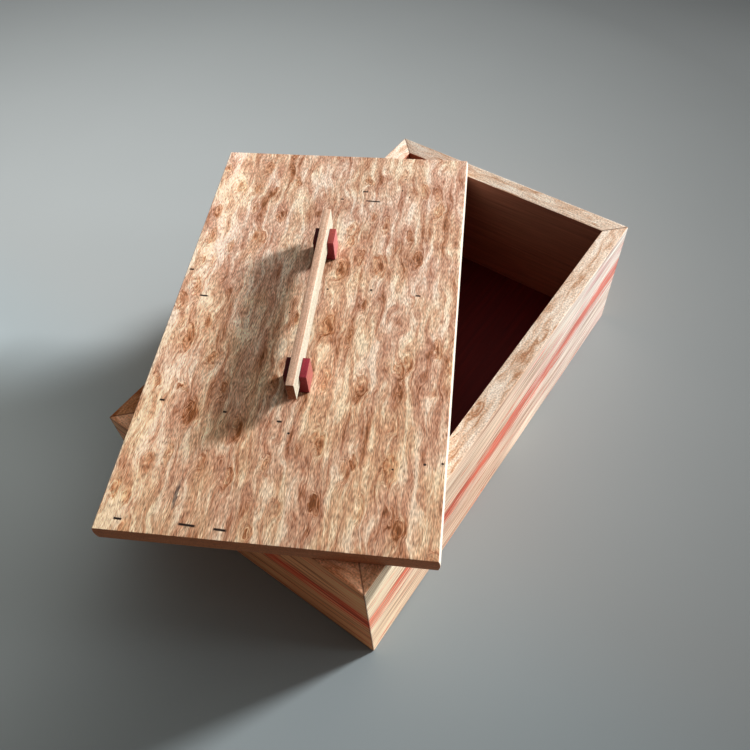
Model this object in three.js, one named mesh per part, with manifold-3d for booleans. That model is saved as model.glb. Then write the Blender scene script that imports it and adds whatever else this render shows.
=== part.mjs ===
// Wooden memory box: four mitred walls around a base panel, with a loose flat lid that lies
// askew on the rim. A slim bar let into two posts is the lid's handle.
// Millimetres, +Z up. The origin is on the ground under the middle of the box, +X runs along
// the long side and +Y across it.

import * as THREE from 'three';
import { mergeVertices } from 'three/addons/utils/BufferGeometryUtils.js';
import Module from 'manifold-3d';

const wasm = await Module();
wasm.setup();

// Box
const boxLength = 350;
const boxWidth = 210;
const boxHeight = 108;
const wallThickness = 15;
const wallArris = 0.8;
const rimInnerArris = 0.3;

// Base panel, let into a rebate along the foot of the walls and flush with them underneath
const baseThickness = 12;
const rebateDepthShare = 1 / 2;
const rebateClearance = 0.3;

// Lid, a little smaller than the box, with gently rounded long edges
const lidEndInset = 2.5;
const lidSideInset = 3;
const lidThickness = 12.5;
const lidEdgeBulge = 1.1;
const lidSeatGap = 0.3;

// Where the lid lies in the photograph: its middle from the box's middle, and its turn
const lidShiftX = -36.8;
const lidShiftY = 40.1;
const lidTurn = THREE.MathUtils.degToRad(28.7);

// Handle bar, standing on edge in the slots of its posts
const barWidth = 5.6;
const barHeight = 15.7;
const barOverhang = 12.2;

// Where the handle stands on the lid: its middle from the lid's middle, and its slight turn
const handleShiftX = -0.4;
const handleShiftY = -1.55;
const handleTurn = THREE.MathUtils.degToRad(0.6);

// Handle posts, each with a slot open at the top
const postSpacing = 119.6;
const postLength = 15.5;
const postWidth = 15.4;
const postHeight = 16.9;
const slotDepth = 7.9;
const jointGap = 0.3;

// Countersunk screws that hold the posts from under the lid
const screwHeadRadius = 4;
const screwShankRadius = 2;
const screwHeadHeight = 2.4;
const screwHeadSink = 0.4;
const screwClearance = 0.3;
const screwBiteShare = 0.6;

// Facets and overruns
const arrisSteps = 3;
const bulgeSteps = 8;
const turningSteps = 24;
const cutOverrun = 1;

// Sizes worked out from those above
const rebateDepth = rebateDepthShare * wallThickness;
const insideLength = boxLength - 2 * wallThickness;
const insideWidth = boxWidth - 2 * wallThickness;
const lidLength = boxLength - 2 * lidEndInset;
const lidWidth = boxWidth - 2 * lidSideInset;
const slotWidth = barWidth + 2 * jointGap;
const slotFloor = postHeight - slotDepth;
const barLength = postSpacing + postLength + 2 * barOverhang;
const screwBite = screwBiteShare * slotFloor;
const screwLength = lidThickness - screwHeadSink + jointGap + screwBite;

// Finishes
const figuredTimber = { color: 0xcda587, roughness: 0.5, metalness: 0 };
const stripedTimber = { color: 0xd9a888, roughness: 0.5, metalness: 0 };
const shadedTimber = { color: 0x5a3024, roughness: 0.65, metalness: 0 };
const paleTimber = { color: 0xe6d3ad, roughness: 0.5, metalness: 0 };
const redTimber = { color: 0x8c2f2c, roughness: 0.5, metalness: 0 };
const screwSteel = { color: 0xb9b2a4, roughness: 0.35, metalness: 1 };

function piece(name, geometry, finish) {
  const mesh = new THREE.Mesh(geometry, new THREE.MeshStandardMaterial(finish));
  mesh.name = name;
  return mesh;
}

function solidOf(geometry) {
  const bare = geometry.clone();
  bare.deleteAttribute('normal');
  bare.deleteAttribute('uv');
  const merged = mergeVertices(bare);
  const vertProperties = new Float32Array(merged.attributes.position.array);
  const triVerts = new Uint32Array(merged.index.array);
  return new wasm.Manifold(new wasm.Mesh({ numProp: 3, vertProperties, triVerts }));
}

function geometryOf(solid) {
  const mesh = solid.getMesh();
  const geometry = new THREE.BufferGeometry();
  geometry.setAttribute('position', new THREE.BufferAttribute(mesh.vertProperties, mesh.numProp));
  geometry.setIndex(new THREE.BufferAttribute(mesh.triVerts, 1));
  return geometry;
}

function cutAway(geometry, cutters) {
  let solid = solidOf(geometry);
  for (const cutter of cutters) {
    solid = solid.subtract(solidOf(cutter));
  }
  return geometryOf(solid);
}

// Section across a wall: x from the outer face inwards, y up, with the rebate for the base
function wallSection() {
  const footThickness = wallThickness - rebateDepth;
  const section = new THREE.Shape();
  section.moveTo(wallArris, 0);
  section.lineTo(footThickness, 0);
  section.lineTo(footThickness, baseThickness);
  section.lineTo(wallThickness, baseThickness);
  const innerCentre = wallThickness - rimInnerArris;
  section.lineTo(wallThickness, boxHeight - rimInnerArris);
  section.absarc(innerCentre, boxHeight - rimInnerArris, rimInnerArris, 0, Math.PI / 2, false);
  section.lineTo(wallArris, boxHeight);
  section.absarc(wallArris, boxHeight - wallArris, wallArris, Math.PI / 2, Math.PI, false);
  section.lineTo(0, wallArris);
  section.absarc(wallArris, wallArris, wallArris, Math.PI, 1.5 * Math.PI, false);
  return section;
}

// A wall along X with its outer face towards -Y, mitred at both ends
function mitredWall(length) {
  const geometry = new THREE.ExtrudeGeometry(wallSection(), {
    depth: length,
    steps: 1,
    bevelEnabled: false,
    curveSegments: arrisSteps,
  });
  const position = geometry.attributes.position;
  for (let i = 0; i < position.count; i += 1) {
    const inwards = position.getX(i);
    const along = position.getZ(i) === 0 ? inwards : length - inwards;
    position.setZ(i, along);
  }
  geometry.translate(0, 0, -length / 2);
  const inward = new THREE.Vector3(0, 1, 0);
  const up = new THREE.Vector3(0, 0, 1);
  const lengthwise = new THREE.Vector3(1, 0, 0);
  geometry.applyMatrix4(new THREE.Matrix4().makeBasis(inward, up, lengthwise));
  return geometry;
}

function buildWalls() {
  const sides = [
    { name: 'wall_long_front', length: boxLength, reach: boxWidth / 2, turn: 0 },
    { name: 'wall_short_right', length: boxWidth, reach: boxLength / 2, turn: Math.PI / 2 },
    { name: 'wall_long_back', length: boxLength, reach: boxWidth / 2, turn: Math.PI },
    { name: 'wall_short_left', length: boxWidth, reach: boxLength / 2, turn: -Math.PI / 2 },
  ];
  return sides.map(({ name, length, reach, turn }) => {
    const wall = piece(name, mitredWall(length), stripedTimber);
    wall.position.set(reach * Math.sin(turn), -reach * Math.cos(turn), 0);
    wall.rotation.z = turn;
    return wall;
  });
}

function buildBase() {
  const reach = rebateDepth - rebateClearance;
  const length = insideLength + 2 * reach;
  const width = insideWidth + 2 * reach;
  const base = piece('base_panel', new THREE.BoxGeometry(length, width, baseThickness), shadedTimber);
  base.position.z = baseThickness / 2;
  return base;
}

// Profile of a screw, or of the hole that clears it, from its head up
function screwProfile(clearance, length) {
  return [
    new THREE.Vector2(0, 0),
    new THREE.Vector2(screwHeadRadius + clearance, 0),
    new THREE.Vector2(screwShankRadius + clearance, screwHeadHeight),
    new THREE.Vector2(screwShankRadius + clearance, length - screwShankRadius),
    new THREE.Vector2(0, length),
  ];
}

function turned(profile) {
  return new THREE.LatheGeometry(profile, turningSteps).rotateX(Math.PI / 2);
}

// The hole for a screw: a plain mouth up to the head, then the screw's own shape with clearance
function screwHole() {
  const throat = screwHeadSink;
  const profile = screwProfile(screwClearance, screwLength + screwClearance);
  const sunk = profile.slice(1).map((point) => point.clone().add(new THREE.Vector2(0, throat)));
  const mouthRadius = screwHeadRadius + screwClearance;
  return turned([
    new THREE.Vector2(0, -cutOverrun),
    new THREE.Vector2(mouthRadius, -cutOverrun),
    ...sunk,
  ]);
}

// Section across the lid, with a shallow arc on each long edge
function lidSection() {
  const flatHalf = lidWidth / 2 - lidEdgeBulge;
  const halfThickness = lidThickness / 2;
  const arcRadius = (halfThickness ** 2 + lidEdgeBulge ** 2) / (2 * lidEdgeBulge);
  const arcCentre = lidWidth / 2 - arcRadius;
  const spread = Math.asin(halfThickness / arcRadius);
  const section = new THREE.Shape();
  section.moveTo(-flatHalf, 0);
  section.lineTo(flatHalf, 0);
  section.absarc(arcCentre, halfThickness, arcRadius, -spread, spread, false);
  section.lineTo(-flatHalf, lidThickness);
  section.absarc(-arcCentre, halfThickness, arcRadius, Math.PI - spread, Math.PI + spread, false);
  return section;
}

function lidBoard() {
  const geometry = new THREE.ExtrudeGeometry(lidSection(), {
    depth: lidLength,
    steps: 1,
    bevelEnabled: false,
    curveSegments: bulgeSteps,
  });
  geometry.translate(0, 0, -lidLength / 2);
  const across = new THREE.Vector3(0, 1, 0);
  const up = new THREE.Vector3(0, 0, 1);
  const lengthwise = new THREE.Vector3(1, 0, 0);
  geometry.applyMatrix4(new THREE.Matrix4().makeBasis(across, up, lengthwise));
  return geometry;
}

const postPlaces = [
  { end: 'near', x: -postSpacing / 2 },
  { end: 'far', x: postSpacing / 2 },
];

function buildLidPanel() {
  const holes = postPlaces.map(({ x }) => {
    const hole = screwHole().translate(x, 0, 0).rotateZ(handleTurn);
    return hole.translate(handleShiftX, handleShiftY, 0);
  });
  return piece('lid_panel', cutAway(lidBoard(), holes), figuredTimber);
}

// A post stands on the lid and holds the bar between its two cheeks
function postGeometry() {
  const section = new THREE.Shape();
  section.moveTo(-postWidth / 2, 0);
  section.lineTo(postWidth / 2, 0);
  section.lineTo(postWidth / 2, postHeight);
  section.lineTo(slotWidth / 2, postHeight);
  section.lineTo(slotWidth / 2, slotFloor);
  section.lineTo(-slotWidth / 2, slotFloor);
  section.lineTo(-slotWidth / 2, postHeight);
  section.lineTo(-postWidth / 2, postHeight);
  const geometry = new THREE.ExtrudeGeometry(section, { depth: postLength, bevelEnabled: false });
  geometry.translate(0, 0, -postLength / 2);
  const across = new THREE.Vector3(0, 1, 0);
  const up = new THREE.Vector3(0, 0, 1);
  const lengthwise = new THREE.Vector3(1, 0, 0);
  geometry.applyMatrix4(new THREE.Matrix4().makeBasis(across, up, lengthwise));
  return cutAway(geometry, [screwHole().translate(0, 0, -lidThickness - jointGap)]);
}

function buildHandle() {
  const postSeat = lidThickness + jointGap;
  const handle = new THREE.Group();
  for (const { end, x } of postPlaces) {
    const post = piece(`handle_post_${end}`, postGeometry(), redTimber);
    post.position.set(x, 0, postSeat);
    const screw = piece(`post_screw_${end}`, turned(screwProfile(0, screwLength)), screwSteel);
    screw.position.set(x, 0, screwHeadSink);
    handle.add(post, screw);
  }
  const bar = piece('handle_bar', new THREE.BoxGeometry(barLength, barWidth, barHeight), paleTimber);
  bar.position.z = postSeat + slotFloor + jointGap + barHeight / 2;
  handle.add(bar);
  handle.position.set(handleShiftX, handleShiftY, 0);
  handle.rotation.z = handleTurn;
  return handle;
}

const box = new THREE.Group();
box.add(...buildWalls(), buildBase());

const lid = new THREE.Group();
lid.add(buildLidPanel(), buildHandle());
lid.position.set(lidShiftX, lidShiftY, boxHeight + lidSeatGap);
lid.rotation.z = lidTurn;

const memoryBox = new THREE.Group();
memoryBox.add(box, lid);

export default memoryBox;
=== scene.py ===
"""The wooden memory box: four mitred walls, a base panel and a loose lid with a bar handle.

Everything is in metres in the box's own frame: the origin is on the ground under the middle of
the box, +X runs along the long side and +Y across it. The lid lies askew on the rim.
Timber is drawn in millimetres, with u along a board, v across it and w upwards.
"""

import math

import bmesh
import bpy
from mathutils import Matrix, Vector


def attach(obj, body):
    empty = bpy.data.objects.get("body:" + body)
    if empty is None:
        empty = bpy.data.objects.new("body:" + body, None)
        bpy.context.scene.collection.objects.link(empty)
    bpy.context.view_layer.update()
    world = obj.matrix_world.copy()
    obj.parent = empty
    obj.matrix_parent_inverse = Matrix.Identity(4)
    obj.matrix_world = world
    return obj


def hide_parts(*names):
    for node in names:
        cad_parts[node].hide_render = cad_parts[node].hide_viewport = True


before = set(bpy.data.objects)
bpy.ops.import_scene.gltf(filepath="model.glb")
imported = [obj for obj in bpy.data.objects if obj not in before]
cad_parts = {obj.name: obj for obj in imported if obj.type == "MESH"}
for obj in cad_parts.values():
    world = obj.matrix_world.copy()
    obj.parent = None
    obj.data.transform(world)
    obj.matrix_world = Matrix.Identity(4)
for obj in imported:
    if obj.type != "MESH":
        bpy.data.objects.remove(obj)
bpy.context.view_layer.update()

MM = 0.001

# Places this close count as one, and a face squarely along an axis has this share of it
SAME_PLACE = 0.01 * MM
SQUARE_ON = 0.9
# How far a cutter starts outside the face that it cuts
CUT_REACH = 1 * MM
# Faces that meet at less than these angles are one flat face, or are shaded as one curve
FLAT_ANGLE = math.radians(1)
SMOOTH_ANGLE = math.radians(40)
TURNED_SMOOTH_ANGLE = math.radians(30)
# Steps round a turned piece, and across an eased arris
TURNING_STEPS = 32
ARRIS_STEPS = 3
FINE_ARRIS_STEPS = 2

# Box walls and base
BOX_LENGTH = 350 * MM
BOX_WIDTH = 210 * MM
BOX_HEIGHT = 108 * MM
WALL_THICKNESS = 15 * MM
WALL_ARRIS = 0.8 * MM
RIM_INNER_ARRIS = 0.3 * MM
MITRE_ARRIS = 0.22 * MM
REBATE_DEPTH = 7.5 * MM
REBATE_CLEARANCE = 0.3 * MM
BASE_THICKNESS = 12 * MM
BASE_ARRIS = 0.4 * MM

# Lid
LID_LENGTH = 345 * MM
LID_WIDTH = 204 * MM
LID_THICKNESS = 12.5 * MM
LID_EDGE_BULGE = 1.1 * MM
LID_EDGE_LEVELS = 8
LID_ARRIS = 0.5 * MM
LID_SEAT_GAP = 0.3 * MM
LID_MIDDLE = Vector((-36.8 * MM, 40.1 * MM, BOX_HEIGHT + LID_SEAT_GAP))
LID_TURN = math.radians(28.7)

# Handle, a little off the lid's middle and slightly askew
HANDLE_MIDDLE = Vector((-0.4 * MM, -1.55 * MM, 0.0))
HANDLE_TURN = math.radians(0.6)
BAR_LENGTH = 159.5 * MM
BAR_WIDTH = 5.6 * MM
BAR_HEIGHT = 15.7 * MM
BAR_ARRIS = 0.45 * MM
POST_PLACES = {"near": -59.8 * MM, "far": 59.8 * MM}
POST_LENGTH = 15.5 * MM
POST_WIDTH = 15.4 * MM
POST_HEIGHT = 16.9 * MM
POST_ARRIS = 0.4 * MM
SLOT_DEPTH = 7.9 * MM
SLOT_EASE = 0.08 * MM
JOINT_GAP = 0.3 * MM

# Screws under the lid
SCREW_HEAD_RADIUS = 4 * MM
SCREW_SHANK_RADIUS = 2 * MM
SCREW_HEAD_HEIGHT = 2.4 * MM
SCREW_HEAD_SINK = 0.4 * MM
SCREW_TIP = 2 * MM
SCREW_TIP_TAPER = 8
SCREW_LENGTH = 17.8 * MM
SCREW_CLEARANCE = 0.3 * MM
RECESS_SPAN = 4.2 * MM
RECESS_WIDTH = 0.9 * MM
RECESS_DEPTH = 1.3 * MM

# Camera, fitted to the photograph's edges, with its lens and the drop of its axis in pixels
PICTURE_SIZE = 750
FOCAL_PIXELS = 745.15
PICTURE_AXIS_DROP = -29.5
SENSOR_WIDTH = 36
CLIP_START = 0.01
EYE = Vector((-275.8 * MM, -208.9 * MM, 520.2 * MM))
AIM = Vector((36.0 * MM, 44.8 * MM, 0.0))
ROLL = -0.07873

# Light: two far lamps, and a sky that is brightest round one direction
KEY_SIDE = math.radians(-28.5)
KEY_HEIGHT = math.radians(21)
KEY_SPREAD = math.radians(10)
KEY_STRENGTH = 5.4
FILL_SIDE = math.radians(-58)
FILL_HEIGHT = math.radians(7)
FILL_SPREAD = math.radians(12)
FILL_STRENGTH = 0.8
SKY_SIDE = math.radians(-15)
SKY_LEAN = math.radians(37)
SKY_GATHER = 6.5
SKY_STRENGTH = 1.26
SKY_FLOOR = 0.056
SKY_TINT = (1.03, 0.96, 0.88, 1.0)

# Ground, in metres: its size, and the painted pool of light on it, whose level is e to a power
# that leans towards one side and falls off all round
GROUND_SIZE = 12
POOL_LEAN_X = 0.12
POOL_LEAN_Y = 1.4
POOL_FALL_X = 2.1
POOL_FALL_XY = 1.05
POOL_FALL_Y = 1.8
POOL_DROP = 0.885
POOL_LEAST = 0.2
# Stretches of the ground, in metres: to the right it dims, as painted shade. To the left it grows
# cooler, as a painted tint of the shade, and beside the box lighter, as painted light; both fade
# out again further off.
RIGHT_DIMMING = (0.57, 0.88)
LEFT_COOLING = (0.04, 0.16)
LEFT_LIGHTENING = (0.12, 0.24)
LEFT_FADING = (0.6, 0.35)
BESIDE_START = (-0.04, 0.12)
BESIDE_FADING = (0.65, 0.3)

# Half the box's length, its height, and about half the lid each way, all in mm, by which the
# finishes share out their shading
HALF_BOX_MM = BOX_LENGTH / 2 / MM
BOX_HEIGHT_MM = BOX_HEIGHT / MM
HALF_LID_ALONG_MM = 172
HALF_LID_ACROSS_MM = 100


# Modelling

def deselect_all():
    bpy.ops.object.select_all(action="DESELECT")


def pick(piece):
    """Leaves one piece selected and active, and no other."""
    deselect_all()
    bpy.context.view_layer.objects.active = piece
    piece.select_set(True)


def settle(piece):
    """Puts a piece's place, turn and size into its mesh."""
    pick(piece)
    bpy.ops.object.transform_apply(location=True, rotation=True, scale=True)


def lay(piece, place, turn=0.0):
    """Turns a piece that was made round the origin, and moves it to its place."""
    piece.location = place
    piece.rotation_euler = (0, 0, turn)
    settle(piece)


def start_block(name, low, high):
    """A block between two corners, which is then cut and shaped."""
    deselect_all()
    low, high = Vector(low), Vector(high)
    bpy.ops.mesh.primitive_cube_add(size=1, location=(low + high) / 2)
    block = bpy.context.active_object
    block.name = name
    block.scale = high - low
    settle(block)
    return block


def open_for_editing(piece):
    pick(piece)
    bpy.ops.object.mode_set(mode="EDIT")


def close_editing():
    bpy.ops.object.mode_set(mode="OBJECT")


def choose(piece, edges=None, faces=None, points=None):
    """Selects what passes a test, by an edge's ends, a face's middle and normal, or a point."""
    bpy.ops.mesh.select_mode(type="FACE" if faces else "EDGE" if edges else "VERT")
    bpy.ops.mesh.select_all(action="DESELECT")
    shell = bmesh.from_edit_mesh(piece.data)
    if faces:
        for face in shell.faces:
            face.select_set(faces(face.calc_center_median(), face.normal))
    if edges:
        for edge in shell.edges:
            edge.select_set(edges(edge.verts[0].co, edge.verts[1].co))
    if points:
        for point in shell.verts:
            point.select_set(points(point.co))
    bmesh.update_edit_mesh(piece.data)


def cut_through(place, facing, drop=False):
    """Cuts all of the piece along a plane, and drops what lies on its facing side."""
    bpy.ops.mesh.select_all(action="SELECT")
    bpy.ops.mesh.bisect(plane_co=place, plane_no=facing, use_fill=drop, clear_outer=drop)


def draw_out(distance):
    """Draws out the chosen faces."""
    bpy.ops.mesh.extrude_region_move(TRANSFORM_OT_translate={"value": distance})


def ease(width, steps=ARRIS_STEPS):
    """Rounds the chosen edges."""
    bpy.ops.mesh.bevel(offset=width, segments=steps, affect="EDGES", clamp_overlap=True)


def merge_flat_faces():
    bpy.ops.mesh.select_all(action="SELECT")
    bpy.ops.mesh.dissolve_limited(angle_limit=FLAT_ANGLE)


def take_out(piece, cutter):
    """Cuts the shape of a cutter out of a piece and removes the cutter."""
    pick(piece)
    cut = piece.modifiers.new("cut", "BOOLEAN")
    cut.operation = "DIFFERENCE"
    cut.solver = "EXACT"
    cut.object = cutter
    bpy.ops.object.modifier_apply(modifier=cut.name)
    bpy.data.objects.remove(cutter, do_unlink=True)


def smooth(piece, angle=SMOOTH_ANGLE):
    pick(piece)
    bpy.ops.object.shade_smooth_by_angle(angle=angle)


def lay_with_lid(piece):
    """Moves a piece that was made in the lid's own frame to where the lid lies."""
    lay(piece, LID_MIDDLE, LID_TURN)


def lay_with_handle(piece):
    """Moves a piece that was made in the handle's own frame to its place on the lid."""
    lay(piece, HANDLE_MIDDLE, HANDLE_TURN)


def build_turned(name, rings, middle):
    """A turned piece, drawn up from a disc through rings of radius and height."""
    deselect_all()
    radius, height = rings[0]
    bpy.ops.mesh.primitive_circle_add(
        vertices=TURNING_STEPS, radius=radius, fill_type="NGON", location=(middle, 0, height)
    )
    piece = bpy.context.active_object
    piece.name = name
    settle(piece)
    open_for_editing(piece)
    bpy.ops.mesh.select_all(action="SELECT")
    for next_radius, next_height in rings[1:]:
        draw_out((0, 0, next_height - height))
        centre = Vector((middle, 0, next_height))
        share = next_radius / radius
        bpy.ops.transform.resize(value=(share, share, 1), center_override=centre)
        radius, height = next_radius, next_height
    bpy.ops.mesh.select_all(action="SELECT")
    bpy.ops.mesh.normals_make_consistent(inside=False)
    close_editing()
    return piece


def build_wall(name, length, place, turn):
    """A wall along X with its outer face towards -Y, rebated at its foot, then turned."""
    half = length / 2
    foot = WALL_THICKNESS - REBATE_DEPTH
    wall = start_block(name, (-half, 0, BASE_THICKNESS), (half, WALL_THICKNESS, BOX_HEIGHT))
    open_for_editing(wall)
    cut_through((0, foot, 0), (0, 1, 0))
    choose(wall, faces=lambda middle, normal: normal.z < -SQUARE_ON and middle.y < foot)
    draw_out((0, 0, -BASE_THICKNESS))
    cut_through((-half, 0, 0), (-1, 1, 0), drop=True)
    cut_through((half, 0, 0), (1, 1, 0), drop=True)
    merge_flat_faces()

    def is_outer_arris(a, b):
        lengthwise = abs(a.x - b.x) > length / 4
        on_rim_or_foot = min(a.z, b.z) > BOX_HEIGHT - SAME_PLACE or max(a.z, b.z) < SAME_PLACE
        return lengthwise and on_rim_or_foot and max(a.y, b.y) < SAME_PLACE

    def is_inner_arris(a, b):
        on_rim = min(a.z, b.z) > BOX_HEIGHT - SAME_PLACE
        return on_rim and min(a.y, b.y) > WALL_THICKNESS - SAME_PLACE

    def is_mitre_edge(a, b):
        return all(abs(half - abs(p.x) - p.y) < SAME_PLACE for p in (a, b))

    choose(wall, edges=is_outer_arris)
    ease(WALL_ARRIS)
    choose(wall, edges=is_inner_arris)
    ease(RIM_INNER_ARRIS, FINE_ARRIS_STEPS)
    choose(wall, edges=is_mitre_edge)
    ease(MITRE_ARRIS, FINE_ARRIS_STEPS)
    close_editing()
    lay(wall, place, turn)
    smooth(wall)
    return wall


def build_walls():
    reach_x, reach_y = BOX_LENGTH / 2, BOX_WIDTH / 2
    sides = [
        ("wall_long_front", BOX_LENGTH, (0, -reach_y, 0), 0),
        ("wall_short_right", BOX_WIDTH, (reach_x, 0, 0), math.pi / 2),
        ("wall_long_back", BOX_LENGTH, (0, reach_y, 0), math.pi),
        ("wall_short_left", BOX_WIDTH, (-reach_x, 0, 0), -math.pi / 2),
    ]
    return {node: build_wall(node + "_board", length, place, turn)
            for node, length, place, turn in sides}


def build_base():
    reach = WALL_THICKNESS - REBATE_DEPTH + REBATE_CLEARANCE
    corner = Vector((BOX_LENGTH / 2 - reach, BOX_WIDTH / 2 - reach, 0))
    base = start_block("base_board", -corner, corner + Vector((0, 0, BASE_THICKNESS)))
    open_for_editing(base)
    choose(base, edges=lambda a, b: max(a.z, b.z) < SAME_PLACE)
    ease(BASE_ARRIS, FINE_ARRIS_STEPS)
    close_editing()
    smooth(base)
    return base


def screw_rings(spare, length):
    """The radius and height of a screw's rings, from its head up to its tip."""
    head = SCREW_HEAD_RADIUS + spare
    shank = SCREW_SHANK_RADIUS + spare
    return [
        (head, SCREW_HEAD_SINK),
        (shank, SCREW_HEAD_SINK + SCREW_HEAD_HEIGHT),
        (shank, SCREW_HEAD_SINK + length - SCREW_TIP),
        (shank / SCREW_TIP_TAPER, SCREW_HEAD_SINK + length),
    ]


def screw_hole(middle):
    """What a screw needs to pass: its mouth down past the lid's underside, and its own shape."""
    rings = screw_rings(SCREW_CLEARANCE, SCREW_LENGTH + SCREW_CLEARANCE)
    mouth = (rings[0][0], -CUT_REACH)
    return build_turned("screw_hole", [mouth] + rings, middle)


def lid_edge_reach(height):
    """Half the lid's width at a height, along the shallow arc of its long edges."""
    half_thickness = LID_THICKNESS / 2
    radius = (half_thickness ** 2 + LID_EDGE_BULGE ** 2) / (2 * LID_EDGE_BULGE)
    rise = math.sqrt(radius ** 2 - (height - half_thickness) ** 2)
    return LID_WIDTH / 2 - radius + rise


def build_lid():
    half_length, half_width = LID_LENGTH / 2, LID_WIDTH / 2
    low = (-half_length, -half_width, 0)
    lid = start_block("lid_board", low, (half_length, half_width, LID_THICKNESS))
    open_for_editing(lid)
    levels = [LID_THICKNESS * step / LID_EDGE_LEVELS for step in range(LID_EDGE_LEVELS + 1)]
    for level in levels[1:-1]:
        cut_through((0, 0, level), (0, 0, 1))
    for level in levels:
        choose(lid, points=lambda point: abs(point.z - level) < SAME_PLACE)
        narrowing = lid_edge_reach(level) / half_width
        bpy.ops.transform.resize(value=(1, narrowing, 1), center_override=(0, 0, level))

    def is_outline(a, b):
        on_end = all(abs(abs(p.x) - half_length) < SAME_PLACE for p in (a, b))
        same_end = a.x * b.x > 0
        lengthwise = abs(a.x - b.x) > half_length
        level_top = min(a.z, b.z) > LID_THICKNESS - SAME_PLACE
        level_foot = max(a.z, b.z) < SAME_PLACE
        upright = abs(a.z - b.z) > SAME_PLACE
        end_edge = on_end and same_end and (upright or level_top or level_foot)
        return end_edge or (lengthwise and (level_top or level_foot))

    choose(lid, edges=is_outline)
    ease(LID_ARRIS)
    close_editing()
    for middle in POST_PLACES.values():
        hole = screw_hole(middle)
        lay_with_handle(hole)
        take_out(lid, hole)
    lay_with_lid(lid)
    smooth(lid)
    return lid


def build_post(name, middle):
    """A post with a slot open at the top, between two cheeks that are drawn up."""
    slot_half = BAR_WIDTH / 2 + SLOT_EASE
    floor = POST_HEIGHT - SLOT_DEPTH
    seat = LID_THICKNESS + JOINT_GAP
    corner = Vector((POST_LENGTH / 2, POST_WIDTH / 2, floor))
    post = start_block(name, (-corner.x, -corner.y, 0), corner)
    open_for_editing(post)
    cut_through((0, slot_half, 0), (0, 1, 0))
    cut_through((0, -slot_half, 0), (0, 1, 0))
    choose(post, faces=lambda place, normal: normal.z > SQUARE_ON and abs(place.y) > slot_half)
    draw_out((0, 0, SLOT_DEPTH))
    merge_flat_faces()

    def is_outer(a, b):
        in_slot = all(abs(abs(p.y) - slot_half) < SAME_PLACE for p in (a, b))
        low_in_slot = in_slot and min(a.z, b.z) < POST_HEIGHT - SAME_PLACE
        at_foot = max(a.z, b.z) < SAME_PLACE
        return not low_in_slot and not at_foot

    choose(post, edges=is_outer)
    ease(POST_ARRIS, FINE_ARRIS_STEPS)
    close_editing()
    lay(post, (middle, 0, seat))
    take_out(post, screw_hole(middle))
    lay_with_handle(post)
    lay_with_lid(post)
    smooth(post)
    return post


def build_bar():
    """The bar on edge, let into the slots of both posts."""
    seat = LID_THICKNESS + JOINT_GAP + POST_HEIGHT - SLOT_DEPTH + JOINT_GAP
    corner = Vector((BAR_LENGTH / 2, BAR_WIDTH / 2, seat + BAR_HEIGHT))
    bar = start_block("handle_bar_stick", (-corner.x, -corner.y, seat), corner)
    open_for_editing(bar)
    choose(bar, edges=lambda a, b: True)
    ease(BAR_ARRIS)
    close_editing()
    lay_with_handle(bar)
    lay_with_lid(bar)
    smooth(bar)
    return bar


def build_screw(name, middle):
    """A countersunk screw with its head down, and a cross recess in the head."""
    screw = build_turned(name, screw_rings(0, SCREW_LENGTH), middle)
    centre = Vector((middle, 0, 0))
    top = SCREW_HEAD_SINK + RECESS_DEPTH
    for span_x, span_y in ((RECESS_SPAN, RECESS_WIDTH), (RECESS_WIDTH, RECESS_SPAN)):
        reach = Vector((span_x / 2, span_y / 2, 0))
        low = centre - reach - Vector((0, 0, CUT_REACH))
        high = centre + reach + Vector((0, 0, top))
        take_out(screw, start_block("recess_arm", low, high))
    lay_with_handle(screw)
    lay_with_lid(screw)
    smooth(screw, TURNED_SMOOTH_ANGLE)
    return screw


# Finishes

def tone(red, green, blue):
    """A colour named by its screen values, turned into light by the screen's usual curve."""
    def to_light(value):
        share = value / 255
        return share / 12.92 if share <= 0.04045 else ((share + 0.055) / 1.055) ** 2.4
    return (to_light(red), to_light(green), to_light(blue), 1.0)


class Value:
    """A number that changes over a surface, and takes part in sums."""

    def __init__(self, finish, socket):
        self.finish = finish
        self.socket = socket

    def _with(self, operation, *others):
        node = self.finish.node("ShaderNodeMath", {"operation": operation},
                                dict(enumerate((self,) + others)))
        return Value(self.finish, node.outputs[0])

    def __add__(self, other):
        return self._with("ADD", other)

    __radd__ = __add__

    def __mul__(self, other):
        return self._with("MULTIPLY", other)

    __rmul__ = __mul__

    def __sub__(self, other):
        return self._with("SUBTRACT", other)

    def __rsub__(self, other):
        return self._with("MULTIPLY_ADD", -1.0, other)

    def __truediv__(self, other):
        return self._with("DIVIDE", other)

    def __neg__(self):
        return self * -1.0

    def __abs__(self):
        return self._with("ABSOLUTE")

    def sine(self):
        return self._with("SINE")

    def power(self, exponent):
        return self._with("POWER", exponent)

    def exponential(self):
        return self._with("EXPONENT")

    def at_least(self, other):
        return self._with("MAXIMUM", other)

    def rise(self, start, end):
        """0 before start, 1 after end, and smooth between them."""
        node = self.finish.node(
            "ShaderNodeMapRange", {"interpolation_type": "SMOOTHSTEP"},
            {"Value": self, "From Min": start, "From Max": end},
        )
        return Value(self.finish, node.outputs[0])


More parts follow.
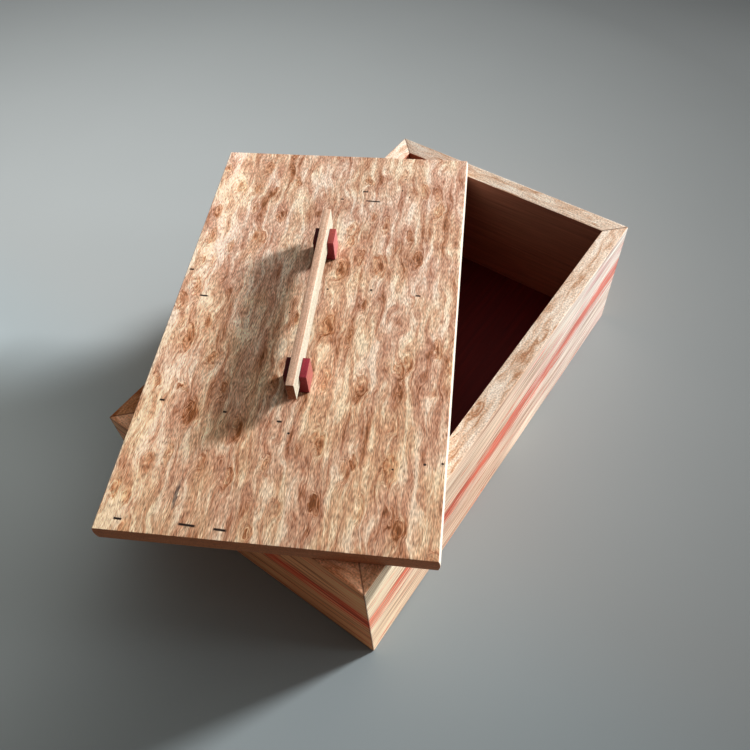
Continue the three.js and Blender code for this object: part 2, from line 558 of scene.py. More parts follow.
class Drawing:
    """A tree of nodes, and the ways in which nodes are added to it."""

    def __init__(self, tree):
        self.tree = tree

    def feed(self, socket, value):
        """Links a socket to a value, or sets it to a number, a vector or a colour."""
        if isinstance(value, Value):
            value = value.socket
        if isinstance(value, bpy.types.NodeSocket):
            self.tree.links.new(value, socket)
        elif socket.type == "VECTOR":
            socket.default_value = value[:3]
        else:
            socket.default_value = value

    def node(self, kind, settings, inputs):
        """Adds a node of a kind, sets its settings, and then feeds its sockets."""
        node = self.tree.nodes.new(kind)
        for name, setting in settings.items():
            if name == "stops":
                self.set_stops(node.color_ramp, setting)
            else:
                setattr(node, name, setting)
        for name, value in inputs.items():
            self.feed(node.inputs[name], value)
        return node

    @staticmethod
    def set_stops(ramp, stops):
        for _ in stops[2:]:
            ramp.elements.new(0.5)
        for element, (place, colour) in zip(ramp.elements, stops):
            element.position = place
            element.color = colour

    def split(self, vector):
        parts = self.node("ShaderNodeSeparateXYZ", {}, {0: vector})
        return [Value(self, output) for output in parts.outputs]

    def join(self, x, y, z):
        return self.node("ShaderNodeCombineXYZ", {}, {0: x, 1: y, 2: z}).outputs[0]


class Finish(Drawing):
    """A material and the nodes that draw it."""

    def __init__(self, name):
        self.material = bpy.data.materials.new(name)
        self.material.use_nodes = True
        super().__init__(self.material.node_tree)
        self.surface = self.tree.nodes["Principled BSDF"]

    def place(self, middle=(0, 0, 0), turn=0.0):
        """The surface's own coordinates, in millimetres from a middle along a turned frame."""
        own = self.node("ShaderNodeTexCoord", {}, {})
        mapped = self.node(
            "ShaderNodeMapping", {"vector_type": "TEXTURE"},
            {"Vector": own.outputs["Object"], "Location": middle,
             "Rotation": (0, 0, turn), "Scale": (MM, MM, MM)},
        )
        return self.split(mapped.outputs[0])

    def facing(self, turn=0.0):
        """Which way the surface faces, along the same turned frame."""
        own = self.node("ShaderNodeTexCoord", {}, {})
        mapped = self.node(
            "ShaderNodeMapping", {"vector_type": "TEXTURE"},
            {"Vector": own.outputs["Normal"], "Rotation": (0, 0, turn)},
        )
        return self.split(mapped.outputs[0])

    def noise(self, x, y, z, detail=2.0, roughness=0.5):
        """Soft noise around 0.5. A coordinate divided by a length gives lumps that long."""
        node = self.node(
            "ShaderNodeTexNoise", {},
            {"Vector": self.join(x, y, z), "Scale": 1.0, "Detail": detail,
             "Roughness": roughness},
        )
        return Value(self, node.outputs[0])

    def oval(self, point, middle, halves):
        """How far a point is from an oval's middle: 1 at its border, whatever its size."""
        mapped = self.node(
            "ShaderNodeMapping", {"vector_type": "TEXTURE"},
            {"Vector": point, "Location": (*middle, 0.0), "Scale": (*halves, 1.0)},
        )
        length = self.node(
            "ShaderNodeVectorMath", {"operation": "LENGTH"}, {0: mapped.outputs[0]}
        )
        return Value(self, length.outputs["Value"])

    def cells(self, x, y, z):
        """How far the nearest cell's middle is, and a number of that cell's own."""
        node = self.node(
            "ShaderNodeTexVoronoi", {}, {"Vector": self.join(x, y, z), "Scale": 1.0}
        )
        own = self.split(node.outputs["Color"])[0]
        return Value(self, node.outputs["Distance"]), own

    def ramp(self, value, stops):
        """A colour that follows a value through stops of place and colour."""
        node = self.node("ShaderNodeValToRGB", {"stops": stops}, {0: value})
        return node.outputs[0]

    def mix(self, share, below, above):
        """One colour laid over another, as far as a share says."""
        node = self.node(
            "ShaderNodeMix", {"data_type": "RGBA"}, {0: share, 6: below, 7: above}
        )
        return node.outputs[2]

    def shade(self, colour, share):
        """A colour made lighter or darker by a share that changes over the surface."""
        node = self.node(
            "ShaderNodeVectorMath", {"operation": "SCALE"}, {0: colour, 3: share}
        )
        return node.outputs[0]

    def stain(self, share, colour, stain):
        """A colour multiplied by a stain, as far as a share says."""
        node = self.node(
            "ShaderNodeMix", {"data_type": "RGBA", "blend_type": "MULTIPLY"},
            {0: share, 6: colour, 7: stain},
        )
        return node.outputs[2]

    def raise_by(self, height, depth):
        """A fine relief, with its depth in metres."""
        bump = self.node(
            "ShaderNodeBump", {}, {"Height": height, "Distance": depth, "Strength": 1.0}
        )
        self.feed(self.surface.inputs["Normal"], bump.outputs[0])

    def paint(self, colour, roughness, specular=0.2):
        """Gives the surface its colour, its roughness and its share of gloss."""
        self.feed(self.surface.inputs["Base Color"], colour)
        self.feed(self.surface.inputs["Roughness"], roughness)
        self.feed(self.surface.inputs["Specular IOR Level"], specular)


# Burl on the lid, from its darkest lines to its palest clouds
DARK_BROWN = tone(132, 84, 52)
BROWN = tone(174, 123, 94)
ROSY_TAN = tone(197, 152, 127)
TAN = tone(212, 173, 147)
PALE_TAN = tone(228, 198, 173)
CREAM = tone(246, 229, 208)
LID_TONES = [
    (0.18, DARK_BROWN), (0.32, BROWN), (0.43, ROSY_TAN), (0.54, TAN),
    (0.66, PALE_TAN), (0.78, CREAM),
]
STREAK_GREY = tone(70, 66, 66)
PORE_BLACK = tone(38, 26, 22)
# The lid's ends and long edges
END_BROWN = tone(188, 108, 70)
END_TAN = tone(222, 144, 100)
EDGE_CREAM = tone(222, 212, 197)

# Stripes up a wall's face, by the share of its height, and what else shows on a wall
WALL_STRIPES = [
    (0.00, tone(230, 194, 166)), (0.06, tone(238, 203, 174)), (0.13, tone(242, 210, 182)),
    (0.20, tone(228, 192, 164)), (0.28, tone(230, 196, 168)), (0.37, tone(240, 209, 183)),
    (0.45, tone(236, 192, 166)), (0.55, tone(234, 180, 156)), (0.62, tone(234, 200, 172)),
    (0.69, tone(243, 216, 190)), (0.75, tone(235, 207, 180)), (0.80, tone(230, 200, 173)),
    (0.86, tone(243, 220, 194)), (0.92, tone(236, 208, 182)), (1.00, tone(230, 200, 174)),
]
WALL_PINK = tone(228, 160, 146)
SEAM_RED = tone(224, 118, 94)
SEAM_HEIGHT_MM = 56.0
SEAM_REACH_MM = 17.0
MITRE_BROWN = tone(72, 40, 26)
# Inside the box the timber is darker and redder than outside, as painted shade
INSIDE_BROWN = tone(178, 118, 95)
INSIDE_RED = tone(192, 117, 90)
RIM_TONES = [
    (0.22, BROWN), (0.34, tone(182, 134, 100)), (0.46, tone(212, 178, 151)),
    (0.60, tone(228, 204, 182)), (0.76, tone(241, 225, 208)),
]
RIM_FIGURE_SCALE = 1.3

# Base, handle and screws. As painted light and shade, a post has one colour on top and one on the
# side in the light.
BASE_TONES = [(0.2, tone(80, 8, 7)), (0.5, tone(96, 12, 11)), (0.8, tone(112, 18, 15))]
BAR_SIDE_TONES = [
    (0.25, tone(170, 162, 142)), (0.5, tone(184, 178, 160)), (0.75, tone(198, 192, 178)),
]
BAR_TOP_TONES = [(0.25, ROSY_TAN), (0.5, tone(206, 167, 141)), (0.75, PALE_TAN)]
BAR_END_TONES = [
    (0.3, tone(116, 64, 42)), (0.5, tone(146, 86, 56)), (0.75, tone(172, 112, 76)),
]
# Painted shadow, near black, on the post's cheek that the bar shades, and painted shade on the
# sides away from the light
POST_PAINTED_SHADOW = tone(96, 20, 20)
POST_PAINTED_SHADE = tone(134, 44, 52)
POST_TONES = {
    "near": (tone(132, 38, 50), tone(156, 88, 80)),
    "far": (tone(146, 65, 60), tone(178, 107, 104)),
}
STEEL_TONES = [
    (0.3, tone(150, 146, 132)), (0.6, tone(186, 182, 168)), (0.8, tone(206, 203, 192)),
]

# Ground and room
FLOOR_GREY = (0.94, 1.02, 1.04, 1.0)
# The cooler grey is the painted tint of the shade to the left of the box
FLOOR_SHADE_COOL_GREY = (0.91, 1.055, 1.11, 1.0)
BACKDROP_GREY = tone(150, 154, 153)

# Stains and painted shade, by which a colour is multiplied: on the lid, along the walls' faces,
# and on the rim
GOLD_STAIN = tone(255, 250, 240)
ROSE_STAIN = tone(253, 247, 247)
EYE_STAIN = tone(250, 236, 212)
NEAR_STAIN = tone(254, 247, 236)
PLAIN = (1.0, 1.0, 1.0, 1.0)
HAIR_STAIN = (0.92, 0.62, 0.54, 1.0)
CORNER_STAIN = (1.0, 1.09, 1.04, 1.0)
FAR_STAIN = (0.88, 1.08, 1.3, 1.0)
# Painted shade on the face of the wall that stands in shadow: redder and a little darker
PAINTED_SHADE_TINT = (1.45, 0.82, 0.48, 1.0)
# Painted shade on the rims where the lid's shadow falls: by the near corner and along the wall in
# shadow
RIM_PAINTED_SHADE = (0.97, 0.62, 0.45, 1.0)
# Deeper painted shade on the rim by the left corner, under the lid's shadow
RIM_PAINTED_DEEP_SHADE = (0.7, 0.42, 0.26, 1.0)
PALE_RIM_STAIN = (1.07, 1.09, 1.1, 1.0)
# A rim's tint, a paler stain on the right wall and painted shade on the others, comes in between
# two places, in mm along the wall. These lie before its start.
ALL_ALONG = (-500.0, -499.0)

# What the lid's figure shows, each by its place along and across the lid, in mm.
# Eyes in the burl, with their reach along and across the grain
LID_EYES = [
    (-145, 95, 12, 5), (-119, 70, 15, 5), (-89, 65, 15, 8), (-71, 75, 6, 7), (-29, 82, 18, 7),
    (3, 96, 16, 7), (20, 90, 10, 6), (45, 84, 13, 5), (72, 91, 18, 5), (99, 93, 10, 6),
    (129, 81, 14, 7), (150, 97, 10, 5), (155, 63, 16, 6), (102, 64, 10, 4), (70, 51, 12, 6),
    (94, 42, 9, 5), (137, 35, 11, 4), (62, 74, 10, 5), (-45, 61, 11, 7), (-134, 28, 15, 5),
    (-120, 8, 14, 4), (-167, 9, 12, 4), (-12, -14, 18, 10), (-57, -19, 15, 7),
    (-105, -24, 14, 6), (-145, -26, 11, 6), (42, -15, 18, 8), (86, -17, 15, 9),
    (141, -24, 9, 6), (57, -28, 15, 5), (-19, -30, 11, 4), (49, -43, 20, 10),
    (91, -43, 15, 6), (-60, -43, 18, 8), (-115, -45, 8, 4), (-44, -66, 11, 6),
    (57, -70, 17, 6), (-119, -69, 20, 9), (80, -62, 12, 4), (131, -70, 17, 5),
    (111, -82, 16, 8), (-157, -77, 12, 8), (-25, -90, 13, 6),
]
# Cream streaks and clouds, with their reach along and across the grain
LID_CREAM = [
    (-65, 87, 26, 9), (-112, 89, 24, 7), (-160, 91, 18, 8), (-17, 46, 34, 4),
    (-100, -83, 34, 5), (-112, -54, 34, 4), (-22, -38, 30, 11), (-8, -54, 14, 10),
    (110, 70, 20, 9), (112, 27, 28, 13), (78, -7, 20, 6), (-32, -13, 12, 11),
    (158, -48, 16, 13), (122, 96, 18, 6), (-25, 97, 14, 5), (-112, 37, 5, 16),
    (-77, -38, 6, 13), (30, -88, 24, 6), (105, -60, 20, 9),
]
# Short black pores across the grain, with half their length. All lean alike, and fade out
# between two distances from their middle line.
PORE_LEAN = 0.05
PORE_EDGE = 1.1
PORE_CORE = 0.4
LID_PORES = [
    (-165, 87.5, 3), (-165, 45.5, 6), (-166, 25.5, 4.5), (118, -29, 6.5), (129, -21.5, 2.5),
    (119, -4, 1.5), (9.5, 81.5, 3.5), (-87, 42, 1.5), (-91, 5.5, 2), (-81.5, 85.5, 2),
    (21, -73, 2), (34.5, 97.5, 2),
]
# Round specks, with their radius
LID_SPECKS = [
    (132, -51, 0.8), (124.5, -57.5, 0.6), (146, -52.5, 0.6), (22.5, -7.5, 0.8),
    (24, -39, 1), (-1.5, 16, 0.6), (-99, -2, 0.9), (-113, -88.5, 0.9), (-111.5, -99, 0.8),
    (-118, -69.5, 0.7),
]
# One grey streak, with its reach along and across the grain
GREY_STREAK = (-146, 57, 11, 1.6)


def gather(finish, point, places):
    """How deep a point lies in any of the ovals at a list of places, from 0 to 1."""
    depth = None
    for along, across, half_length, half_width in places:
        reach = finish.oval(point, (along, across), (half_length, half_width))
        inside = reach.rise(1.0, 0.0)
        depth = inside if depth is None else depth.at_least(inside)
    return depth


def scattered_eyes(finish, u, v, w, seed):
    """Eyes strewn at random, for burl that has no places of its own."""
    reach, cell = finish.cells(u / 27, v / 12 + seed, w / 12)
    return reach.rise(0.5, 0.0) * cell.rise(0.3, 0.7)


def burl(finish, u, v, w, eyes, seed=0.0):
    """Burl timber in numbers: its figure from dark to pale, its fibres, its lean to gold.

    Growth lines waver along the grain and close into rings round each eye.
    """
    sway = finish.noise(u / 70 + seed, v / 42, w / 42, detail=1)
    lumps = finish.noise(u / 25, v / 10 + seed, w / 10, detail=1)
    level = v + 9 * sway + 11 * lumps + 7 * eyes
    lines = finish.noise(u / 42 + seed, level / 4.5, w / 4.5, detail=1)
    strokes = finish.noise(u / 15, level / 1.7 + seed, v / 9 + w / 1.7, roughness=0.65)
    patches = finish.noise(u / 36 + seed, v / 15 + 3 * lumps, w / 15, roughness=0.6)
    fibres = finish.noise(u / 5.5, level / 0.78, v / 5 + w + seed, detail=1, roughness=0.8)
    rings = (15 * eyes + 5 * strokes).sine() * eyes.rise(0.02, 0.25)
    figure = (
        0.56
        + 0.9 * (lines - 0.5)
        + 0.55 * (strokes - 0.5)
        + 0.7 * (patches - 0.5)
        + 0.07 * rings
        + 0.4 * (fibres - 0.5)
        - 0.12 * eyes.rise(0.05, 0.7)
        - 0.1 * eyes.rise(0.84, 1.0)
    )
    golden = finish.noise(u / 45, v / 20, w / 20 + seed + 5, detail=1).rise(0.38, 0.62)
    return figure, fibres, golden


def dark_marks(finish, u, v):
    """The pores and specks on the lid, as a mask."""
    marks = None
    for along, across, half_length in LID_PORES:
        near_u = abs(u - along - PORE_LEAN * (v - across)).rise(PORE_EDGE, PORE_CORE)
        near_v = abs(v - across).rise(half_length, 0.7 * half_length)
        mark = near_u * near_v
        marks = mark if marks is None else marks.at_least(mark)
    for along, across, radius in LID_SPECKS:
        reach = (u - along) * (u - along) + (v - across) * (v - across)
        marks = marks.at_least(reach.rise(1.5 * radius ** 2, 0.4 * radius ** 2))
    return marks


def lid_burl(finish, u, v, w, stray):
    """The lid's burl, paler towards its long left edge, and its fibres."""
    spot = finish.join(u + 18 * (stray - 0.5), v + 8 * (stray - 0.5), 0.0)
    eyes = gather(finish, spot, LID_EYES)
    strewn = scattered_eyes(finish, u + 14 * stray, v + 8 * stray, w, 3.0)
    eyes = eyes.at_least(0.7 * strewn)
    cream = gather(finish, spot, LID_CREAM)
    figure, fibres, golden = burl(finish, u, v, w, eyes)

    def rise_across(start, end):
        return (v / HALF_LID_ACROSS_MM).rise(start, end)

    toward_left = rise_across(-0.3, 1.0) + 0.6 * rise_across(0.65, 0.9)
    timber = finish.ramp(figure + 0.22 * cream + 0.14 * rise_across(0.6, 0.9), LID_TONES)
    timber = finish.stain(1.0, timber, finish.mix(golden, ROSE_STAIN, GOLD_STAIN))
    timber = finish.stain(0.6 * eyes.rise(0.05, 0.7), timber, EYE_STAIN)
    timber = finish.stain((u / HALF_LID_ALONG_MM).rise(0.4, -0.8), timber, NEAR_STAIN)
    grit = finish.noise(u / 3, (v + 3 * stray) / 0.62, w / 0.62, detail=0)
    speckle = 1.02 + 0.7 * (fibres - 0.5) + 1.5 * (grit - 0.5)
    return finish.shade(timber, (0.862 + 0.29 * toward_left) * speckle), fibres


def build_lid_finish():
    """Burl on the lid's faces, its grey streak and pores, and plainer ends and edges."""
    finish = Finish("lid_timber")
    u, v, w = finish.place(LID_MIDDLE, LID_TURN)
    facing_u, facing_v, facing_w = finish.facing(LID_TURN)
    stray = finish.noise(u / 12, v / 6, w / 6)
    timber, fibres = lid_burl(finish, u, v, w, stray)
    along, across, half_length, half_width = GREY_STREAK
    streak = finish.oval(finish.join(u, v, 0.0), (along, across), (half_length, half_width))
    timber = finish.mix(0.75 * (streak + fibres).rise(1.6, 1.0), timber, STREAK_GREY)
    layers = finish.noise(u, v / 30, w / 1.1)
    end_grain = finish.shade(finish.mix(layers, END_BROWN, END_TAN), 0.5 + fibres)
    timber = finish.mix(abs(facing_u).rise(0.6, 0.9), timber, end_grain)
    edge = finish.shade(EDGE_CREAM, 0.8 + 0.4 * layers)
    timber = finish.mix(abs(facing_v).rise(0.55, 0.8), timber, edge)
    marks = dark_marks(finish, u, v) * facing_w.rise(0.5, 0.9)
    timber = finish.mix(marks, timber, PORE_BLACK)
    finish.paint(timber, 0.62 + 0.2 * fibres)
    grain = finish.noise(u / 7, (v + 9 * stray) / 0.9, w / 0.9)
    finish.raise_by(grain, 0.12 * MM)
    return finish.material


def wall_stripes(finish, u, v, w, seed):
    """The outer face, with stripes, a red seam and hairs, and its lines and fine fibres. It is
    lighter towards one end, partly as painted light.
    """
    def rise_along(start, end):
        return (u / HALF_BOX_MM).rise(start, end)

    sway = finish.noise(u / 160 + seed, v / 60, w / 60, detail=1)
    ripple = finish.noise(u / 40, v / 30 + seed, w / 9, detail=3, roughness=0.6)
    toward_end = rise_along(0.0, 1.0)
    straight = w + 5 * (sway - 0.5) - 9 * toward_end
    lines = finish.noise(u / 45, v / 9 + seed, straight / 2.3, roughness=0.7)
    level = straight + (5 + 5 * toward_end) * (ripple - 0.5)
    bands = finish.ramp(level / BOX_HEIGHT_MM, WALL_STRIPES)
    near_seam = abs(level - SEAM_HEIGHT_MM).rise(SEAM_REACH_MM, 1.0)
    seam = near_seam + 4.0 * (lines - 0.5)
    bands = finish.mix(seam.rise(0.5, 0.8), bands, SEAM_RED)
    pink = finish.noise(u / 90, v / 40 + seed, level / 7).rise(0.5, 0.75)
    bands = finish.mix(0.7 * pink * rise_along(-0.8, 0.4), bands, WALL_PINK)
    fine = finish.noise(u / 90, v / 3 + seed, straight / 1.5, detail=1, roughness=0.8)
    hairs = finish.noise(u / 55, v / 3 + seed, straight / 1.7, detail=0)
    light = 1.02 + 0.3 * (lines - 0.5) + 0.9 * (fine - 0.5) + 1.3 * (hairs - 0.5)
    # Lighter towards the near corner of the front wall: partly the timber's own tone, partly
    # painted light against the lid's shadow there
    farther = rise_along(-1.0, -0.4)
    stripes = finish.shade(bands, light * (1.16 - 0.36 * farther))
    stripes = finish.stain((fine + hairs).rise(1.1, 0.5), stripes, HAIR_STAIN)
    stripes = finish.mix(farther, finish.stain(1.0, stripes, CORNER_STAIN), stripes)
    stripes = finish.stain(rise_along(-0.3, 0.8), stripes, FAR_STAIN)
    return stripes, lines, fine


def wall_rim(finish, u, v, w, seed, rim_stain_and_shade, rim_stain_and_shade_span):
    """Fine burl along the rim, with a tint that comes in from one place to another: painted shade
    on the rims in the lid's shadow, and a paler stain on the right wall's rim.
    """
    eyes = scattered_eyes(finish, u, v, w, seed)
    scale = RIM_FIGURE_SCALE
    figure, fibres, _ = burl(finish, scale * u, scale * v, scale * w, eyes, seed)
    rim = finish.ramp(0.15 + 0.75 * figure, RIM_TONES)
    grit = finish.noise(u / 1.3, v / 1.1, w, detail=1)
    rim = finish.shade(rim, 1.07 + 0.2 * (fibres - 0.5) + 1.5 * (grit - 0.5))
    return finish.stain(u.rise(*rim_stain_and_shade_span), rim, rim_stain_and_shade)


def build_wall_finish(name, is_long, seed, rim_stain_and_shade, rim_stain_and_shade_span, face_painted_shade=PLAIN):
    """Striped timber on the outer face, burl along the rim, and inside a darker, redder timber as
    painted shade.

    A face lies inside where it looks towards the middle of the box.
    """
    lengthwise_turn = 0.0 if is_long else math.pi / 2
    mitre_offset = (BOX_LENGTH - BOX_WIDTH) / 2 / MM * (1 if is_long else -1)
    finish = Finish(name)
    u, v, w = finish.place(turn=lengthwise_turn)
    _, facing_v, facing_w = finish.facing(lengthwise_turn)
    stripes, lines, fine = wall_stripes(finish, u, v, w, seed)
    rim = wall_rim(finish, u, v, w, seed, rim_stain_and_shade, rim_stain_and_shade_span)
    inwards = (v * facing_v).rise(0.0, -30.0)
    # Painted shade: the inner faces take this darker, redder timber
    painted_shade_inside = finish.mix(w.rise(100.0, 15.0), INSIDE_BROWN, INSIDE_RED)
    painted_shade_inside = finish.shade(painted_shade_inside, 1.0 + 0.8 * (lines - 0.5) + 0.5 * (fine - 0.5))
    # The outer face of the wall in shadow is multiplied by its painted shade
    faces = finish.mix(inwards, finish.stain(1.0, stripes, face_painted_shade), painted_shade_inside)
    timber = finish.mix(facing_w.rise(0.5, 0.85), faces, rim)
    from_mitre = abs(abs(u) - abs(v) - mitre_offset)
    timber = finish.mix(0.6 * from_mitre.rise(1.0, 0.4), timber, MITRE_BROWN)
    finish.paint(timber, 0.68 + 0.2 * fine)
    grain = finish.noise(u / 12, v / 0.9, w / 1.2)
    finish.raise_by(grain, 0.1 * MM)
    return finish.material


def build_base_finish():
    """Matt dark red timber with straight lines."""
    finish = Finish("base_timber")
    u, v, w = finish.place()
    lines = finish.noise(u / 70, v / 3, w / 3, detail=3, roughness=0.6)
    fine = finish.noise(u / 16, v / 0.8, w / 0.8, roughness=0.6)
    timber = finish.shade(finish.ramp(lines, BASE_TONES), 0.75 + 0.5 * fine)
    finish.paint(timber, 0.55 + 0.2 * fine)
    finish.raise_by(lines + fine, 0.08 * MM)
    return finish.material


def build_bar_finish():
    """Pale straight grain, rosier along the top and brown at the sawn ends."""
    finish = Finish("bar_timber")
    u, v, w = finish.place(LID_MIDDLE, LID_TURN)
    facing_u, _, facing_w = finish.facing(LID_TURN)
    lines = finish.noise(u / 40, v / 0.9, w / 1.6, roughness=0.55)
    fine = finish.noise(u / 8, v / 0.6, w / 0.6, detail=1)
    side = finish.ramp(lines, BAR_SIDE_TONES)
    top = finish.ramp(lines, BAR_TOP_TONES)
    end = finish.ramp(lines, BAR_END_TONES)
    timber = finish.mix(facing_w.rise(0.5, 0.8), side, top)
    timber = finish.mix(abs(facing_u).rise(0.6, 0.9), timber, end)
    flecks = finish.noise(u / 1.6, v, w / 1.2, roughness=0.7)
    light = 1.04 + 0.5 * (fine - 0.5) + 1.3 * (flecks - 0.5)
    finish.paint(finish.shade(timber, light), 0.4 + 0.2 * fine)
    finish.raise_by(fine, 0.05 * MM)
    return finish.material


def build_post_finish(name, top, lit_side):
    """Deep red timber with painted light and shade: coral on the side in the light, darker on the
    other sides, and near black on the cheek past the bar as its painted shadow.
    """
    finish = Finish(name)
    u, v, w = finish.place(LID_MIDDLE, LID_TURN)
    _, facing_v, facing_w = finish.facing(LID_TURN)
    lines = finish.noise(u / 14, v / 1.4, w / 2.5, detail=3, roughness=0.6)
    flecks = finish.noise(u / 1.6, v / 0.8, w / 0.8, roughness=0.7)
    # Painted light and shade: the lit side coral, the other sides darker, the top its own colour,
    # and the cheek past the bar near black as the bar's painted shadow
    timber = finish.mix(facing_v.rise(-0.5, -0.8), POST_PAINTED_SHADE, lit_side)
    timber = finish.mix(facing_w.rise(0.5, 0.8), timber, top)
    timber = finish.mix(v.rise(1.0, 3.0), timber, POST_PAINTED_SHADOW)
    light = 1.0 + 0.9 * (lines - 0.5) + 1.1 * (flecks - 0.5)
    finish.paint(finish.shade(timber, light), 0.42 + 0.2 * flecks)
    finish.raise_by(flecks, 0.06 * MM)
    return finish.material


def build_screw_finish():
    """Dull zinc plate with fine scuffs."""
    finish = Finish("screw_steel")
    u, v, w = finish.place(LID_MIDDLE, LID_TURN)
    scuffs = finish.noise(u / 2.5, v / 0.4, w / 2.5, detail=3, roughness=0.6)
    finish.paint(finish.ramp(scuffs, STEEL_TONES), 0.28 + 0.3 * scuffs, specular=0.5)
    finish.feed(finish.surface.inputs["Metallic"], 1.0)
    finish.raise_by(scuffs, 0.03 * MM)
    return finish.material


def build_floor_finish():
    """Pale grey ground with a painted pool of light, lightest behind the box and falling off
    gently from there, and with painted dimming to the right.

    Beside the box, on its shaded side, the grey is cooler, as a painted tint of the shade, and a
    little lighter, as painted light.
    """
    finish = Finish("ground_paper")
    own = finish.node("ShaderNodeTexCoord", {}, {})
    x, y, z = finish.split(own.outputs["Object"])
    pool = (
        POOL_LEAN_X * x + POOL_LEAN_Y * y
        - POOL_FALL_X * x * x - POOL_FALL_XY * x * y - POOL_FALL_Y * y * y
        - POOL_DROP
    )
    # Painted pool of light, with painted dimming to the right
    level = pool.exponential().at_least(POOL_LEAST) * (1.0 - 0.6 * x.rise(*RIGHT_DIMMING))
    leftward = -x
    # Painted light on the ground beside the box, where its shadow falls
    beside = leftward.rise(*LEFT_LIGHTENING) * leftward.rise(*LEFT_FADING)
    beside = beside * y.rise(*BESIDE_START) * y.rise(*BESIDE_FADING)
    level = level * (1.0 + 0.45 * beside)
    mottle = finish.noise(x * 9, y * 9, z, detail=3)
    # Painted cool tint of the shade to the left of the box
    painted_shade_coolness = leftward.rise(*LEFT_COOLING) * leftward.rise(*LEFT_FADING)
    tint = finish.mix(painted_shade_coolness, FLOOR_GREY, FLOOR_SHADE_COOL_GREY)
    grey = finish.shade(tint, level * (0.98 + 0.04 * mottle))
    finish.paint(grey, 0.9, specular=0.1)
    return finish.material


# The whole object, and what it stands on

def dress(piece, material):
    """Gives a piece one finish all over."""
    piece.data.materials.clear()
    piece.data.materials.append(material)


def stand_for(piece, node, body):
    """Lets a piece stand for a solid, which it hides, and move with its body."""
    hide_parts(node)
    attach(piece, body)


def build_wall_finishes():
    """A finish for each wall, with a figure of its own, a tint of its own on the rim, painted
    shade where the lid's shadow falls and a paler stain on the right wall, and painted shade on
    the face of the wall in shadow.
    """
    return {
        "wall_long_front": build_wall_finish(
            "front_timber", is_long=True, seed=3.0,
            rim_stain_and_shade=RIM_PAINTED_SHADE, rim_stain_and_shade_span=(-120.0, -140.0)),
        "wall_long_back": build_wall_finish(
            "back_timber", is_long=True, seed=5.0,
            rim_stain_and_shade=RIM_PAINTED_DEEP_SHADE, rim_stain_and_shade_span=(-80.0, -140.0)),
        "wall_short_right": build_wall_finish(
            "right_timber", is_long=False, seed=11.0,
            rim_stain_and_shade=PALE_RIM_STAIN, rim_stain_and_shade_span=ALL_ALONG),
        "wall_short_left": build_wall_finish(
            "left_timber", is_long=False, seed=7.0,
            rim_stain_and_shade=RIM_PAINTED_SHADE, rim_stain_and_shade_span=ALL_ALONG, face_painted_shade=PAINTED_SHADE_TINT),
    }


def build_box():
    timbers = build_wall_finishes()
    for node, wall in build_walls().items():
        dress(wall, timbers[node])
        stand_for(wall, node, "box")
    base = build_base()
    dress(base, build_base_finish())
    stand_for(base, "base_panel", "box")


def build_lid_and_handle():
    lid = build_lid()
    dress(lid, build_lid_finish())
    stand_for(lid, "lid_panel", "lid")
    bar = build_bar()
    dress(bar, build_bar_finish())
    stand_for(bar, "handle_bar", "lid")
    steel = build_screw_finish()
    for end, middle in POST_PLACES.items():
        post = build_post(f"post_{end}_block", middle)
        dress(post, build_post_finish(f"post_timber_{end}", *POST_TONES[end]))
        stand_for(post, f"handle_post_{end}", "lid")
        screw = build_screw(f"screw_{end}_steel", middle)
        dress(screw, steel)
        stand_for(screw, f"post_screw_{end}", "lid")


def build_ground():
    deselect_all()
    bpy.ops.mesh.primitive_plane_add(size=GROUND_SIZE, location=(0, 0, 0))
    ground = bpy.context.active_object
    ground.name = "ground"
    dress(ground, build_floor_finish())


# Camera and light

def aim_camera():
    """Puts the camera where the photograph was taken from."""
    deselect_all()
    bpy.ops.object.camera_add()
    camera = bpy.context.active_object
    camera.data.sensor_width = SENSOR_WIDTH
    camera.data.lens = FOCAL_PIXELS / PICTURE_SIZE * SENSOR_WIDTH
    camera.data.shift_y = PICTURE_AXIS_DROP / PICTURE_SIZE
    camera.data.clip_start = CLIP_START
    look = (AIM - EYE).to_track_quat("-Z", "Y").to_matrix().to_4x4()
    camera.matrix_world = Matrix.Translation(EYE) @ look @ Matrix.Rotation(ROLL, 4, "Z")
    bpy.context.scene.camera = camera


def toward(side, height):
    """A direction by its side, turned from +X, and its height over the ground."""
    level = math.cos(height)
    return Vector((level * math.cos(side), level * math.sin(side), math.sin(height)))


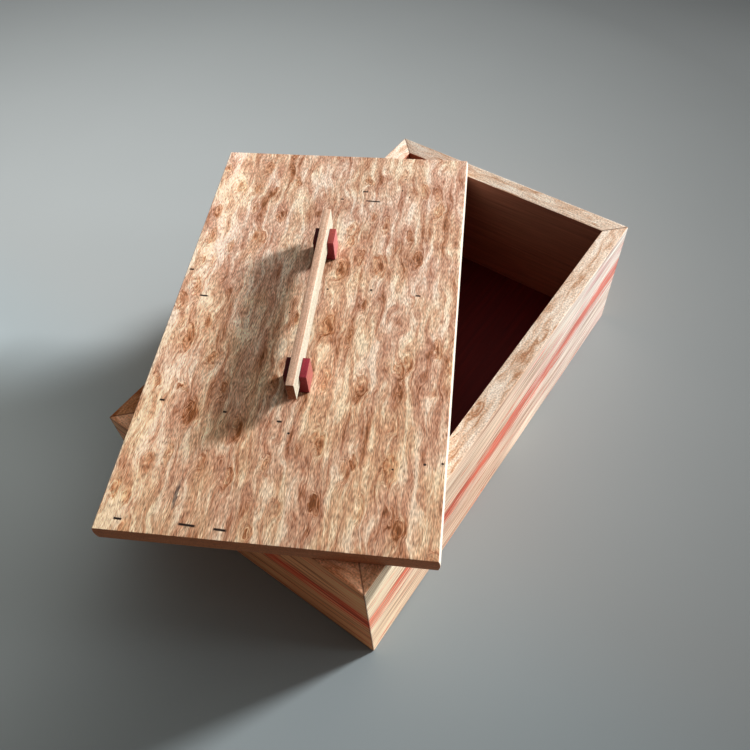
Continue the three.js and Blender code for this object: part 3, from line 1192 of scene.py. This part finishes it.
def add_lamp(name, side, height, spread, strength):
    """A far soft lamp, by where it stands and how wide it looks from the box."""
    deselect_all()
    bpy.ops.object.light_add(type="SUN")
    lamp = bpy.context.active_object
    lamp.name = name
    lamp.rotation_euler = toward(side, height).to_track_quat("Z", "Y").to_euler()
    lamp.data.angle = spread
    lamp.data.energy = strength


def light_scene():
    """A low key lamp on the open end's side, and a weak fill in front of the long wall."""
    add_lamp("key_lamp", KEY_SIDE, KEY_HEIGHT, KEY_SPREAD, KEY_STRENGTH)
    add_lamp("fill_lamp", FILL_SIDE, FILL_HEIGHT, FILL_SPREAD, FILL_STRENGTH)


def light_room():
    """Soft light from high on the key side, and a pale room where a camera or gloss sees it."""
    room = bpy.data.worlds.new("room")
    room.use_nodes = True
    bpy.context.scene.world = room
    room.node_tree.nodes.clear()
    drawing = Drawing(room.node_tree)
    own = drawing.node("ShaderNodeTexCoord", {}, {})
    toward_sky = toward(SKY_SIDE, math.pi / 2 - SKY_LEAN)
    along_sky = drawing.node(
        "ShaderNodeVectorMath", {"operation": "DOT_PRODUCT"},
        {0: own.outputs["Generated"], 1: toward_sky},
    )
    height = Value(drawing, along_sky.outputs["Value"]).at_least(0.0)
    level = SKY_FLOOR + SKY_STRENGTH * height.power(SKY_GATHER)
    sky = drawing.node(
        "ShaderNodeBackground", {}, {"Color": SKY_TINT, "Strength": level}
    )
    backdrop = drawing.node("ShaderNodeBackground", {}, {"Color": BACKDROP_GREY})
    ray = drawing.node("ShaderNodeLightPath", {}, {})
    seen = Value(drawing, ray.outputs["Is Camera Ray"])
    seen = seen.at_least(Value(drawing, ray.outputs["Is Glossy Ray"]))
    seen = seen.at_least(Value(drawing, ray.outputs["Is Transmission Ray"]))
    mixed = drawing.node(
        "ShaderNodeMixShader", {}, {0: seen, 1: sky.outputs[0], 2: backdrop.outputs[0]}
    )
    drawing.node("ShaderNodeOutputWorld", {}, {"Surface": mixed.outputs[0]})


bpy.context.scene.view_settings.view_transform = "Standard"
aim_camera()
light_scene()
light_room()
build_ground()
build_box()
build_lid_and_handle()
